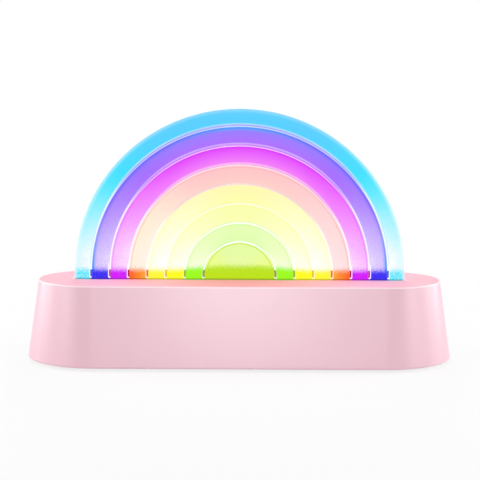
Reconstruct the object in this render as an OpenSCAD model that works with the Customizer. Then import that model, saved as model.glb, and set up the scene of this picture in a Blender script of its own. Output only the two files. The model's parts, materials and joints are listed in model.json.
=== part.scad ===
// Rainbow table lamp: a clear edge-lit plate of nested arches stands in a pink base that holds
// the light strip, the control board and a rechargeable cell.
// Millimetres. The origin is the centre of the footprint, on the surface that the lamp stands on.
// +X runs along the base, +Y to the back of the lamp, +Z up.

/* [Rainbow plate] */
// Outer radius of the rainbow
arch_r = 88.5; // [86:0.5:120]
// Thickness of the clear plate
plate_t = 6; // [4:0.5:8]
// Number of arch slots, each cut into both faces of the plate
slot_n = 7; // [3:1:7]
// Width of each arch slot
slot_w = 1.4; // [1:0.1:2]
// Thickness of the web left in each slot between its cuts from the two faces
web_t = 0.8; // [0.4:0.1:2]
// Width of the outermost band
outer_band_w = 7.8; // [6:0.1:10]
// Width of each band between two slots
band_w = 8.7; // [7:0.1:9.6]
// Height of the outermost arch's centre above the base's top
arch_lift = 2; // [1.9:0.1:6]
// How much lower each slot's centre is than that of the arch outside it
arch_sink = 0.1; // [0.05:0.01:0.1]
// Height of the middle of the slots' round ends above the base's top
slot_end_lift = 1.2; // [0.9:0.1:1.2]
// Depth of the plate's tang under the base's top panel
tang_h = 8; // [6:0.5:10]
// How far the tang reaches past the arches at each end
tang_ear = 4; // [2:0.5:5]

/* [Base moulding] */
// How far the base's bottom edge runs past the rainbow at each end
base_past = 26.5; // [25:0.5:60]
// Depth of the base at its bottom edge
base_dep = 58; // [56:1:64]
// Radius of the base's ends at their tips, at the bottom edge
tip_r = 24; // [22:0.5:25]
// Height of the moulding from its rim to its top
base_h = 42; // [41:1:60]
// How far the walls lean in over their height
draft = 7; // [4:0.5:8]
// Thickness of the walls
wall_t = 2.2; // [1.8:0.1:3]
// Thickness of the top panel
top_t = 2.5; // [2:0.1:4]
// Rounding of the top edge
top_edge_r = 0.7; // [0.5:0.1:2]
// Rounding of the bottom edge
rim_edge_r = 0.8; // [0.3:0.1:1.2]

/* [Bottom cover and feet] */
// Thickness of the bottom cover
cover_t = 2.5; // [2.2:0.1:4]
// Diameter of the rubber feet
foot_d = 10; // [8:0.5:12]
// Thickness of the rubber feet
foot_t = 2; // [1.5:0.1:4]
// Depth of the recesses that the feet sit in
foot_recess = 0.5; // [0.3:0.1:1]
// Distance of the feet in from the centres of the base's tips
foot_in = 7; // [5:0.5:12]
// Distance of the feet in from the base's front and back edges
foot_edge = 15; // [13:0.5:18]
// Distance of the side cover screws in from the feet
side_screw_in = 12; // [10:0.5:13]
// Outer radius of the cover screws' bosses
boss_r = 3.2; // [2.6:0.1:3.6]

/* [Light strip] */
// Thickness of the light box's side walls
box_wall = 3.85; // [3.4:0.05:5]
// Thickness of the light box's end walls
box_end = 2.7; // [2:0.1:3.4]
// Thickness of the light box's floor, which holds the light cells
box_floor = 2.1; // [1.9:0.1:2.6]
// Width of each square light-emitting diode
led_w = 5; // [3:0.1:5.4]
// Height of each light-emitting diode
led_h = 1.6; // [1:0.1:1.8]
// Distance of the outer fixing ears in from the light box's ends
ear_in = 33.5; // [31:0.5:45]
// Thickness of the fixing ears
ear_t = 3; // [2:0.1:4]

/* [Control board] */
// Thickness of both circuit boards
pcb_t = 1.6; // [1:0.1:2]
// Length of the control board
board_len = 60; // [58:1:70]
// Depth of the control board
board_dep = 30; // [28:1:34]
// Distance between the cell and the control board
board_past = 9.5; // [8:0.5:14]
// Height of the posts under the control board
post_h = 8; // [5:0.5:9]
// Distance of the charging socket from the control board's left end
usb_in = 13; // [11:0.5:14]
// Distance of the power switch's middle from the control board's left end
switch_in = 29; // [27:0.5:31]
// Distance of the mode button from the control board's left end
button_in = 45; // [41:0.5:48]

/* [Controls] */
// Diameter of the mode button
button_d = 5.8; // [4:0.1:6.4]
// How far the mode button stands out of the back wall
button_proud = 0.9; // [0.4:0.1:1.4]
// Travel of the mode button
button_travel = 0.5; // [0.2:0.1:0.6]
// Width of the power switch's knob
knob_w = 3; // [2.6:0.1:4]
// Height of the power switch's knob
knob_h = 2.6; // [2.4:0.1:3.4]
// How far the knob stands out of the back wall
knob_proud = 0.6; // [0.3:0.1:1.2]
// Travel of the power switch
knob_travel = 2; // [1:0.1:2.4]
// Width of the plug opening in the back wall
plug_w = 12.8; // [12.4:0.1:15]
// Height of the plug opening in the back wall
plug_h = 7; // [6.6:0.1:8]

/* [Battery] */
// Diameter of the cell
cell_d = 18.4; // [14:0.1:19]
// Length of the cell
cell_len = 65; // [50:1:67]
// Height of the cell above the bottom cover
cell_lift = 0.6; // [0.4:0.1:2]
// Distance of the cell from the end screw boss
cell_in = 6.3; // [2:0.1:10]
// Thickness of the clamp strap over the cell
strap_t = 1.2; // [1:0.1:1.8]
// Width of the clamp strap
strap_w = 10; // [6:0.5:14]

/* [Hidden] */
$fn = 96;
eps = 0.01;
// How far a cut runs past the face that it opens
cut = 1;
// Clearances
plate_gap = 1.5;
pocket_gap = 0.15;
pocket_end_gap = 0.3;
cover_gap = 0.2;
foot_gap = 0.1;
led_gap = 0.3;
thread_gap = 0.05;
button_gap = 0.1;
wall_gap = 0.15;
knob_gap = 0.3;
cell_gap = 0.05;
board_gap = 0.8;
// Heights of the main levels
rim_z = foot_t - foot_recess;
top_z = rim_z + base_h;
under_z = top_z - top_t;
arch_z = top_z + arch_lift;
tang_z = under_z - tang_h;
box_z = tang_z - box_floor;
strip_z = box_z - pcb_t;
cover_z = rim_z + cover_t;
board_z = cover_z + post_h;
board_top = board_z + pcb_t;
// Plan of the base
base_hx = arch_r + base_past;
base_hy = base_dep / 2;
tip_x = base_hx - tip_r;
// Direction in which a tip's curve ends and the flatter curve beside it begins, seen from its centre
flank_turn = [0.6, 0.8];
flank_r = (base_hy - flank_turn[1] * tip_r) / (1 - flank_turn[1]);
flank_in = flank_r - base_hy;
flank_x = tip_x - flank_turn[0] * (flank_r - tip_r);
flank_end = [tip_x, 0] + 2 * flank_r * flank_turn;
lean = atan(draft / base_h);
function outer_y(z) = base_hy - draft * (z - rim_z) / base_h;
function inner_y(z) = outer_y(z) - wall_t;
// Rainbow
slot_pitch = band_w + slot_w;
function slot_r(k) = arch_r - outer_band_w - slot_w / 2 - k * slot_pitch;
function slot_z(k) = arch_z - (k + 1) * arch_sink;
slot_end_z = top_z + slot_end_lift;
core_r = slot_r(slot_n - 1) - slot_w / 2;
slot_d = (plate_t - web_t) / 2;
function band_mid(k) =
    k == 0 ? arch_r - outer_band_w / 2 : k < slot_n ? slot_r(k) + slot_pitch / 2 : core_r / 2;
led_xs = [for (s = [-1, 1], k = [0 : slot_n]) s * band_mid(k)];
tang_hx = arch_r + tang_ear;
// Light box
box_hx = tang_hx + pocket_end_gap + box_end;
box_hy = plate_t / 2 + pocket_gap + box_wall;
ear_r = 2.8;
ear_past = 4;
ear_x = box_hx - ear_in;
ear_y = box_hy + ear_past;
ear_places = [for (x = [-ear_x, 0, ear_x], s = [-1, 1]) [x, s * ear_y]];
strip_in = 1.5;
strip_edge = 0.2;
strip_screw_in = 15.5;
strip_screw_edge = 2.1;
strip_hx = box_hx - strip_in;
strip_hy = box_hy - strip_edge;
strip_screw_y = box_hy - strip_screw_edge;
strip_screw_x = box_hx - strip_screw_in;
strip_places = [[-strip_screw_x, strip_screw_y], [0, -strip_screw_y], [strip_screw_x, strip_screw_y]];
// Screw bosses and feet
boss_wall_gap = 1.5;
boss_box_gap = 1.3;
foot_y = base_hy - foot_edge;
foot_x = tip_x - foot_in;
side_screw_x = foot_x - side_screw_in;
boss_y = inner_y(under_z) - boss_wall_gap - boss_r;
boss_end_x = box_hx + boss_box_gap + boss_r;
side_places = [for (x = [-1, 1], y = [-1, 1]) [x * side_screw_x, y * boss_y]];
boss_places = concat(side_places, [[-boss_end_x, 0], [boss_end_x, 0]]);
rib_t = 1.4;
rib_h = 9;
rib_z = under_z - rib_h;
foot_chamfer = 0.4;
foot_places = [for (x = [-1, 1], y = [-1, 1]) [x * foot_x, y * foot_y]];
// Screws: [shank radius, head radius, head height, length under the head]
cover_screw = [1.2, 2.7, 1.1, 9.5];
ear_screw = [1, 2.2, 1.4, 9];
strip_screw = [0.75, 1.7, 1.2, 6];
board_screw = [0.8, 1.9, 1.4, 7];
strap_screw = [0.8, 1.9, 1.4, 6];
drive_w = 0.5;
// Reach of the cross recess as a share of the head's radius
drive_reach = 0.6;
hole_gap = 0.4;
sink_gap = 0.3;
sink_z = 0.1;
pilot_spare = 1;
// Controls on the back edge of the control board
plunger_r = 1.65;
flange_past = 1;
flange_r = button_d / 2 + flange_past;
flange_t = 0.8;
button_up = 2.2;
button_z = board_top + button_up;
button_back = inner_y(button_z + flange_r) - wall_gap - flange_t;
button_front = outer_y(button_z) + button_proud;
board_back = button_back - board_gap;
board_front = board_back - board_dep;
tact_w = 6;
tact_d = 4;
tact_h = 4.3;
tact_edge = 0.5;
tact_face = board_back - tact_edge;
tact_floor = 0.8;
// Battery
cell_r = cell_d / 2;
cell_z = cover_z + cell_lift + cell_r;
cell_left = cell_in + boss_r - boss_end_x;
cell_right = cell_left + cell_len;
cell_mid = (cell_left + cell_right) / 2;
cap_r = 3.2;
cap_h = 0.8;
guard_edge = 0.6;
guard_r = cell_r - guard_edge;
guard_t = 1;
saddle_t = 2;
saddle_in = 8.5;
saddle_past = 1.8;
saddle_x = cell_len / 2 - saddle_in;
saddle_hy = cell_r + saddle_past;
saddle_top = cell_z - cell_r / 2;
strap_in = cell_r + cell_gap;
strap_out = strap_in + strap_t;
strap_foot = 2;
strap_post = 4.5;
strap_reach = 3.3;
strap_y = strap_out + strap_reach;
strap_foot_z = cover_z + strap_post;
strap_places = [for (s = [-1, 1]) [cell_mid, s * strap_y]];
// Plan of the control board
board_left = cell_right + board_past;
board_right = board_left + board_len;
usb_x = board_left + usb_in;
switch_x = board_left + switch_in;
button_x = board_left + button_in;
board_inset = 3.5;
board_places = [for (x = [board_left + board_inset, board_right - board_inset],
    y = [board_front + board_inset, board_back - board_inset]) [x, y]];
post_r = 2.6;
// Charging socket
usb_w = 8.94;
usb_h = 3.16;
usb_d = 7.3;
usb_wall = 0.3;
usb_z = board_top + usb_h / 2;
usb_mouth = inner_y(usb_z);
usb_pocket = 6.2;
tongue_w = 6.7;
tongue_t = 0.7;
tongue_d = 4.9;
plug_corner = 1;
// Slide switch
switch_w = 8.6;
switch_d = 4.2;
switch_h = 3.6;
switch_edge = 0.4;
switch_face = board_back - switch_edge;
lever_z = board_top + switch_h / 2;
lever_s = 1.6;
lever_foot = 3.2;
lever_rise = 0.4;
lever_gap = 0.1;
switch_skin = 0.7;
knob_rest = switch_x - knob_travel / 2;
knob_cover = 1.8;
knob_cover_z = 1.3;
knob_flange_w = knob_w + knob_travel + 2 * knob_cover;
knob_flange_h = knob_h + 2 * knob_cover_z;
knob_back = inner_y(lever_z + knob_flange_h / 2) - wall_gap - flange_t;
knob_front = outer_y(lever_z) + knob_proud;
knob_boss = 0.8;
lever_reach = 0.6;
lever_tip = knob_back + lever_reach;
slot_hx = (knob_w + knob_travel) / 2 + knob_gap;
slot_hz = knob_h / 2 + knob_gap;
// Connectors and wires
plug_size = [5, 6, 5.2];
plug_edge = 1.5;
plug_in = 7;
led_plug_in = 8.7;
plug_wire_z = 2.8;
battery_plug_at = [board_left + plug_edge, board_front + plug_in];
led_plug_at = [board_right - led_plug_in, board_front + plug_in];
strip_plug = [7.5, 7, 4.4];
strip_plug_past = 5.6;
strip_wire_z = 2.2;
strip_plug_at = [led_plug_at[0] - strip_plug_past - strip_plug[0], strip_hy - strip_plug[1]];
wire_r = 0.6;
wire_sides = 8;
wire_pitch = 2;
// Small parts on the control board: [size, places from its front left corner]
charger = [[5, 4, 1.5], [[18, 15.5]]];
driver = [[10, 4, 1.5], [[32, 13]]];
coil = [[6.5, 6.5, 4], [[10, 4]]];
capacitor = [[5, 5.4], [[25, 6.5]]];
chip = [2, 1.2, 0.6];
chip_pitch = [4, 0];
front_chips = [chip, [for (i = [0 : 4]) [31, 10] + i * chip_pitch]];
back_chips = [chip, [for (i = [0 : 2]) [32, 19] + i * chip_pitch]];

// Points of an arc round a centre, from one angle to another
function arc(c, r, a0, a1, n) = [for (i = [0 : n]) let (a = a0 + (a1 - a0) * i / n)
    [c[0] + r * cos(a), c[1] + r * sin(a)]];

// A rectangle with round corners, as points round its centre
function round_rect(w, h, r) = concat(
    arc([w / 2 - r, h / 2 - r], r, 0, 90, 4), arc([r - w / 2, h / 2 - r], r, 90, 180, 4),
    arc([r - w / 2, r - h / 2], r, 180, 270, 4), arc([w / 2 - r, r - h / 2], r, 270, 360, 4));

// A closed profile and its mirror image across the height axis; its first two points lie on the axis
function both_sides(p) = concat([for (i = [2 : len(p) - 1]) p[i]],
    [for (i = [len(p) - 1 : -1 : 2]) [-p[i][0], p[i][1]]]);

// The same profile with its wall moved out; its first two points stay on the axis
function moved_out(p, d) = [for (i = [0 : len(p) - 1]) [p[i][0] + (i < 2 ? 0 : d), p[i][1]]];

// The part of a round body that lies over one corner of the base's plan; its wall follows the profile
module round_part(centre, half, corner) {
    intersection() {
        translate([centre[0], centre[1], 0])
            rotate([0, 0, 180])
                rotate_extrude()
                    polygon(half);
        linear_extrude(height = 2 * top_z)
            polygon(corner);
    }
}

// A body with straight sides and oval ends, whose wall follows a half profile of [reach, height]
module oval_ended(half) {
    for (turn = [0, 180])
        rotate([0, 0, turn]) {
            round_part([tip_x, 0], moved_out(half, tip_r - base_hy),
                [[tip_x, 0], [flank_end[0], -flank_end[1]], flank_end]);
            for (flip = [0, 1])
                mirror([0, flip, 0])
                    round_part([flank_x, -flank_in], moved_out(half, flank_in),
                        [[flank_x, 0], [tip_x, 0], flank_end, [flank_x, flank_end[1]]]);
        }
    translate([-flank_x, 0, 0])
        rotate([90, 0, 90])
            linear_extrude(height = 2 * flank_x)
                polygon(both_sides(half));
}

// An upright cylinder at each place
module at_each(places, z, r, h) {
    for (p = places)
        translate([p[0], p[1], z])
            cylinder(r = r, h = h);
}

// A cross-head screw with its shank up from the underside of its head
module screw(size) {
    difference() {
        union() {
            translate([0, 0, -size[2]])
                cylinder(r = size[1], h = size[2]);
            translate([0, 0, -eps])
                cylinder(r = size[0], h = size[3] + eps);
        }
        for (a = [0, 90])
            rotate([0, 0, a])
                translate([-size[1] * drive_reach, -drive_w / 2, -size[2] - eps])
                    cube([2 * size[1] * drive_reach, drive_w, size[2] / 2 + eps]);
    }
}

module screws(places, z, size, down = false) {
    for (p = places)
        translate([p[0], p[1], z])
            rotate([down ? 180 : 0, 0, 0])
                screw(size);
}

// The half profile of the base moulding's shell
module base_shell() {
    top_in = top_edge_r / tan((90 + lean) / 2);
    rim_in = rim_edge_r / tan((90 - lean) / 2);
    half = concat(
        [[0, top_z], [0, under_z], [inner_y(under_z), under_z], [inner_y(rim_z), rim_z]],
        arc([base_hy - rim_in, rim_z + rim_edge_r], rim_edge_r, -90, lean, 4),
        arc([outer_y(top_z) - top_in, top_z - top_edge_r], top_edge_r, lean, 90, 5));
    oval_ended(half);
}

module base_housing() {
    color([0.97, 0.80, 0.85])
        difference() {
            union() {
                base_shell();
                at_each(boss_places, cover_z, boss_r, under_z - cover_z + eps);
                at_each(ear_places, box_z + ear_t, ear_r, under_z - box_z - ear_t + eps);
                for (x = [-side_screw_x, side_screw_x], flip = [0, 1])
                    mirror([0, flip, 0])
                        translate([x - rib_t / 2, boss_y, rib_z])
                            cube([rib_t, inner_y(under_z) + wall_t / 2 - boss_y, under_z - rib_z + eps]);
            }
            at_each(boss_places, cover_z - eps, cover_screw[0] + thread_gap,
                cover_screw[3] + pilot_spare);
            at_each(ear_places, box_z + ear_t - eps, ear_screw[0] + thread_gap,
                ear_screw[3] - ear_t + pilot_spare / 2);
            translate([-arch_r - plate_gap, -plate_t / 2 - plate_gap, under_z - cut])
                cube([2 * (arch_r + plate_gap), plate_t + 2 * plate_gap, top_t + 2 * cut]);
            translate([usb_x, inner_y(top_z), usb_z])
                rotate([-90, 0, 0])
                    linear_extrude(height = base_hy)
                        polygon(round_rect(plug_w, plug_h, plug_corner));
            translate([button_x, inner_y(top_z), button_z])
                rotate([-90, 0, 0])
                    cylinder(r = button_d / 2 + button_gap, h = base_hy);
            translate([switch_x - slot_hx, inner_y(top_z), lever_z - slot_hz])
                cube([2 * slot_hx, base_hy, 2 * slot_hz]);
        }
}

module bottom_cover() {
    low_y = inner_y(rim_z) - cover_gap;
    high_y = inner_y(cover_z) - cover_gap;
    half = [[0, cover_z], [0, rim_z], [low_y, rim_z], [high_y, cover_z]];
    color([0.95, 0.77, 0.82])
        difference() {
            union() {
                oval_ended(half);
                at_each(board_places, cover_z - eps, post_r, post_h + eps);
                at_each(strap_places, cover_z - eps, post_r, strap_post + eps);
                for (s = [-1, 1])
                    translate([cell_mid + s * saddle_x - saddle_t / 2, -saddle_hy, cover_z - eps])
                        cube([saddle_t, 2 * saddle_hy, saddle_top - cover_z + eps]);
            }
            translate([cell_left - cut, 0, cell_z])
                rotate([0, 90, 0])
                    cylinder(r = cell_r + cell_gap, h = cell_len + 2 * cut);
            at_each(board_places, board_z - board_screw[3], board_screw[0] + thread_gap,
                board_screw[3] + cut);
            at_each(strap_places, strap_foot_z - strap_screw[3] + strap_foot,
                strap_screw[0] + thread_gap, strap_screw[3]);
            at_each(boss_places, rim_z - cut, cover_screw[0] + hole_gap, cover_t + 2 * cut);
            at_each(boss_places, rim_z - cut, cover_screw[1] + sink_gap, cut + sink_z + cover_screw[2]);
            at_each(foot_places, rim_z - cut, foot_d / 2 + foot_gap, foot_recess + cut);
        }
}

module rubber_feet() {
    color([0.92, 0.92, 0.93])
        for (p = foot_places)
            translate([p[0], p[1], 0]) {
                cylinder(r1 = foot_d / 2 - foot_chamfer, r2 = foot_d / 2, h = foot_chamfer);
                translate([0, 0, foot_chamfer])
                    cylinder(r = foot_d / 2, h = foot_t - foot_chamfer);
            }
}

module cover_screws() {
    color([0.75, 0.75, 0.77])
        screws(boss_places, rim_z + sink_z + cover_screw[2], cover_screw);
}

// The cut of one arch-shaped slot from one face of the plate, with its short legs and round ends
module arch_slot(r, leg) {
    rotate_extrude(angle = 180)
        translate([r - slot_w / 2, 0])
            square([slot_w, cut + slot_d]);
    for (s = [-1, 1])
        translate([s * r, -leg, 0]) {
            cylinder(r = slot_w / 2, h = cut + slot_d);
            translate([-slot_w / 2, 0, 0])
                cube([slot_w, leg, cut + slot_d]);
        }
}

module rainbow_plate() {
    color([0.72, 0.88, 1, 0.6])
        difference() {
            union() {
                translate([0, plate_t / 2, arch_z])
                    rotate([90, 0, 0])
                        rotate_extrude(angle = 180)
                            square([arch_r, plate_t]);
                translate([-arch_r, -plate_t / 2, under_z - eps])
                    cube([2 * arch_r, plate_t, arch_z - under_z + eps]);
                translate([-tang_hx, -plate_t / 2, tang_z])
                    cube([2 * tang_hx, plate_t, tang_h]);
            }
            for (flip = [0, 1], k = [0 : slot_n - 1])
                mirror([0, flip, 0])
                    translate([0, plate_t / 2 + cut, slot_z(k)])
                        rotate([90, 0, 0])
                            arch_slot(slot_r(k), slot_z(k) - slot_end_z);
        }
}

module light_box() {
    color([0.96, 0.96, 0.95])
        difference() {
            union() {
                translate([-box_hx, -box_hy, box_z])
                    cube([2 * box_hx, 2 * box_hy, under_z - box_z]);
                at_each(ear_places, box_z, ear_r, ear_t);
                for (p = ear_places)
                    translate([p[0] - ear_r, min(0, p[1]), box_z])
                        cube([2 * ear_r, abs(p[1]), ear_t]);
            }
            translate([-tang_hx - pocket_end_gap, -plate_t / 2 - pocket_gap, tang_z])
                cube([2 * (tang_hx + pocket_end_gap), plate_t + 2 * pocket_gap, tang_h + cut]);
            for (x = led_xs)
                translate([x - led_w / 2 - led_gap, -led_w / 2 - led_gap, box_z - cut])
                    cube([led_w + 2 * led_gap, led_w + 2 * led_gap, box_floor + 2 * cut]);
            at_each(ear_places, box_z - cut, ear_screw[0] + hole_gap, ear_t + 2 * cut);
            at_each(strip_places, box_z - cut, strip_screw[0] + thread_gap,
                strip_screw[3] - pcb_t + pilot_spare + cut);
        }
}

module light_box_screws() {
    color([0.75, 0.75, 0.77])
        screws(ear_places, box_z, ear_screw);
}

module led_board() {
    color([0.93, 0.94, 0.92])
        difference() {
            translate([-strip_hx, -strip_hy, strip_z])
                cube([2 * strip_hx, 2 * strip_hy, pcb_t]);
            at_each(strip_places, strip_z - cut, strip_screw[0] + hole_gap, pcb_t + 2 * cut);
        }
}

module led_board_screws() {
    color([0.75, 0.75, 0.77])
        screws(strip_places, strip_z, strip_screw);
}

module leds() {
    lens_h = 0.2;
    lens_d = 0.84 * led_w;
    color([1, 1, 0.96])
        for (x = led_xs) {
            translate([x - led_w / 2, -led_w / 2, box_z])
                cube([led_w, led_w, led_h - lens_h]);
            translate([x, 0, box_z + led_h - lens_h - eps])
                cylinder(d = lens_d, h = lens_h + eps);
        }
}

module led_board_connector() {
    color([0.94, 0.93, 0.88])
        translate([strip_plug_at[0], strip_plug_at[1], strip_z - strip_plug[2]])
            cube(strip_plug);
}

// Direction of a route at one of its points
function unit(v) = v / norm(v);
function heading(p, i) = unit((i < len(p) - 1 ? unit(p[i + 1] - p[i]) : [0, 0, 0])
    + (i > 0 ? unit(p[i] - p[i - 1]) : [0, 0, 0]));

// A round wire along a route that never runs straight along Y
module wire(route) {
    n = len(route);
    points = [for (i = [0 : n - 1], k = [0 : wire_sides - 1])
        let (t = heading(route, i), a = 360 * k / wire_sides, up = unit(cross(t, [0, 1, 0])))
        route[i] + wire_r * (cos(a) * cross(up, t) + sin(a) * up)];
    sides = [for (i = [0 : n - 2], k = [0 : wire_sides - 1], h = [0, 1])
        let (j = (k + 1) % wire_sides, b = i * wire_sides, c = b + wire_sides)
        h == 0 ? [b + k, b + j, c + j] : [b + k, c + j, c + k]];
    ends = [[for (k = [wire_sides - 1 : -1 : 0]) k],
        [for (k = [0 : wire_sides - 1]) (n - 1) * wire_sides + k]];
    polyhedron(points = points, faces = concat(sides, ends));
}

module led_wires() {
    from = [strip_plug_at[0] + strip_plug[0], strip_plug_at[1] + strip_plug[1] / 2, strip_z - strip_wire_z];
    to = [led_plug_at[0] + plug_size[0] / 2, led_plug_at[1] + plug_size[1] / 2, board_top + plug_size[2]];
    way = to - from;
    // Shares of the way that each point of the route has gone, along X, Y and Z
    steps = [[0, 0, 0], [0.3, 0, 0], [0.66, 0.3, 0.12], [0.92, 0.7, 0.36], [1, 1, 0.65], [1, 1, 1]];
    color([0.85, 0.2, 0.2])
        for (i = [-1, 0, 1])
            wire([for (p = steps) from + [p[0] * way[0], p[1] * way[1] + i * wire_pitch, p[2] * way[2]]]);
}

module control_board() {
    color([0.13, 0.42, 0.25])
        difference() {
            translate([board_left, board_front, board_z])
                cube([board_len, board_dep, pcb_t]);
            at_each(board_places, board_z - cut, board_screw[0] + hole_gap, pcb_t + 2 * cut);
        }
}

module control_board_screws() {
    color([0.75, 0.75, 0.77])
        screws(board_places, board_top, board_screw, down = true);
}

// Blocks of one size on the control board, at their places from its front left corner
module blocks_on_board(part) {
    for (p = part[1])
        translate([board_left + p[0], board_front + p[1], board_top])
            cube(part[0]);
}

module board_parts() {
    color([0.15, 0.15, 0.16])
        for (part = [charger, driver, coil])
            blocks_on_board(part);
    color([0.72, 0.6, 0.45])
        for (part = [front_chips, back_chips])
            blocks_on_board(part);
    color([0.8, 0.8, 0.82])
        for (p = capacitor[1])
            translate([board_left + p[0], board_front + p[1], board_top])
                cylinder(d = capacitor[0][0], h = capacitor[0][1]);
}

module led_connector() {
    color([0.94, 0.93, 0.88])
        translate([led_plug_at[0], led_plug_at[1], board_top])
            cube(plug_size);
}

module battery_connector() {
    color([0.94, 0.93, 0.88])
        translate([battery_plug_at[0], battery_plug_at[1], board_top])
            cube(plug_size);
}

module usb_socket() {
    color([0.78, 0.78, 0.8])
        translate([usb_x, usb_mouth, usb_z])
            rotate([90, 0, 0]) {
                difference() {
                    linear_extrude(height = usb_d)
                        polygon(round_rect(usb_w, usb_h, usb_h / 2 - eps));
                    translate([0, 0, -cut])
                        linear_extrude(height = usb_pocket + cut)
                            polygon(round_rect(usb_w - 2 * usb_wall, usb_h - 2 * usb_wall,
                                usb_h / 2 - usb_wall - eps));
                }
                translate([-tongue_w / 2, -tongue_t / 2, usb_pocket - tongue_d])
                    cube([tongue_w, tongue_t, tongue_d + eps]);
            }
}

module tact_switch() {
    color([0.2, 0.2, 0.21])
        difference() {
            translate([button_x - tact_w / 2, tact_face - tact_d, board_top])
                cube([tact_w, tact_d, tact_h]);
            translate([button_x, tact_face - tact_d + tact_floor, button_z])
                rotate([-90, 0, 0])
                    cylinder(r = plunger_r + button_gap, h = tact_d);
        }
}

module tact_plunger() {
    start = tact_face - tact_d + tact_floor + button_travel + button_gap;
    color([0.1, 0.1, 0.1])
        translate([button_x, start, button_z])
            rotate([-90, 0, 0])
                cylinder(r = plunger_r, h = button_back - start);
}

module mode_button() {
    color([0.98, 0.84, 0.88])
        translate([button_x, button_back, button_z])
            rotate([-90, 0, 0]) {
                cylinder(r = button_d / 2, h = button_front - button_back);
                cylinder(r = flange_r, h = flange_t);
            }
}

module slide_switch() {
    hollow_hx = (lever_foot + knob_travel) / 2 + lever_gap;
    window_hx = (lever_s + knob_travel) / 2 + lever_gap;
    foot_hz = lever_s / 2 + lever_rise + lever_gap;
    color([0.7, 0.7, 0.72])
        difference() {
            translate([switch_x - switch_w / 2, switch_face - switch_d, board_top])
                cube([switch_w, switch_d, switch_h]);
            translate([switch_x - hollow_hx, switch_face - switch_d + switch_skin, lever_z - foot_hz])
                cube([2 * hollow_hx, switch_d - 2 * switch_skin, 2 * foot_hz]);
            translate([switch_x - window_hx, switch_face - cut, lever_z - lever_s / 2 - lever_gap])
                cube([2 * window_hx, 2 * cut, lever_s + 2 * lever_gap]);
        }
}

module switch_lever() {
    foot_d = switch_d - 2 * switch_skin - 2 * lever_gap;
    foot_y = switch_face - switch_d + switch_skin + lever_gap;
    foot_h = lever_s + 2 * lever_rise;
    color([0.1, 0.1, 0.1]) {
        translate([knob_rest - lever_foot / 2, foot_y, lever_z - foot_h / 2])
            cube([lever_foot, foot_d, foot_h]);
        translate([knob_rest - lever_s / 2, foot_y + foot_d - eps, lever_z - lever_s / 2])
            cube([lever_s, lever_tip - foot_y - foot_d + eps, lever_s]);
    }
}

module power_knob() {
    pocket_s = lever_s + 2 * lever_gap;
    color([0.98, 0.84, 0.88])
        difference() {
            union() {
                translate([knob_rest - knob_w / 2, knob_back - knob_boss, lever_z - knob_h / 2])
                    cube([knob_w, knob_front - knob_back + knob_boss, knob_h]);
                translate([knob_rest - knob_flange_w / 2, knob_back, lever_z - knob_flange_h / 2])
                    cube([knob_flange_w, flange_t, knob_flange_h]);
            }
            translate([knob_rest - pocket_s / 2, knob_back - knob_boss - cut, lever_z - pocket_s / 2])
                cube([pocket_s, lever_tip - knob_back + knob_boss + cut, pocket_s]);
        }
}

module battery_cell() {
    color([0.45, 0.7, 0.85])
        translate([cell_left, 0, cell_z])
            rotate([0, 90, 0]) {
                cylinder(r = cell_r, h = cell_len - cap_h);
                cylinder(r = cap_r, h = cell_len);
            }
}

module battery_guard_board() {
    color([0.13, 0.42, 0.25])
        translate([cell_right, 0, cell_z])
            rotate([0, 90, 0])
                cylinder(r = guard_r, h = guard_t);
}

module battery_wires() {
    from = [cell_right + guard_t, 0, cell_z];
    to = [battery_plug_at[0], battery_plug_at[1] + plug_size[1] / 2, board_top + plug_wire_z];
    way = to - from;
    hump = 1.2;
    // Shares of the way that each point of the route has gone along X and Y, and along Z, and its hump
    steps = [[0, 0, 0], [0.18, 0, 0], [0.38, 0.45, 0.8], [0.58, 0.9, 0.8], [0.78, 1, 0], [1, 1, 0]];
    color([0.85, 0.2, 0.2])
        for (i = [-0.5, 0.5])
            wire([for (p = steps) from
                + [p[0] * way[0], p[1] * way[1] + i * wire_pitch, p[1] * way[2] + p[2] * hump]]);
}

module battery_strap() {
    color([0.96, 0.96, 0.95])
        difference() {
            union() {
                translate([cell_mid - strap_w / 2, 0, cell_z])
                    rotate([0, 90, 0])
                        cylinder(r = strap_out, h = strap_w);
                translate([cell_mid - strap_w / 2, -strap_out, strap_foot_z])
                    cube([strap_w, 2 * strap_out, cell_z - strap_foot_z]);
                translate([cell_mid - strap_w / 2, -strap_y - post_r, strap_foot_z])
                    cube([strap_w, 2 * (strap_y + post_r), strap_foot]);
            }
            translate([cell_mid - strap_w / 2 - cut, 0, cell_z])
                rotate([0, 90, 0])
                    cylinder(r = strap_in, h = strap_w + 2 * cut);
            translate([cell_mid - strap_w / 2 - cut, -strap_in, cell_z - cell_d])
                cube([strap_w + 2 * cut, 2 * strap_in, cell_d]);
            translate([cell_mid - strap_w / 2 - cut, -strap_out - cut, cell_z - strap_out - cut])
                cube([strap_w + 2 * cut, 2 * (strap_out + cut), strap_out + cut - cell_z + strap_foot_z]);
            at_each(strap_places, strap_foot_z - cut, strap_screw[0] + hole_gap, strap_foot + 2 * cut);
        }
}

module battery_strap_screws() {
    color([0.75, 0.75, 0.77])
        screws(strap_places, strap_foot_z + strap_foot, strap_screw, down = true);
}

base_housing();
bottom_cover();
rubber_feet();
cover_screws();
rainbow_plate();
light_box();
light_box_screws();
led_board();
led_board_screws();
leds();
led_board_connector();
led_wires();
control_board();
control_board_screws();
board_parts();
led_connector();
battery_connector();
usb_socket();
tact_switch();
tact_plunger();
mode_button();
slide_switch();
switch_lever();
power_knob();
battery_cell();
battery_guard_board();
battery_wires();
battery_strap();
battery_strap_screws();
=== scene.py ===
import json
import math

import bmesh
import bpy
from mathutils import Matrix, Vector


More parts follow.
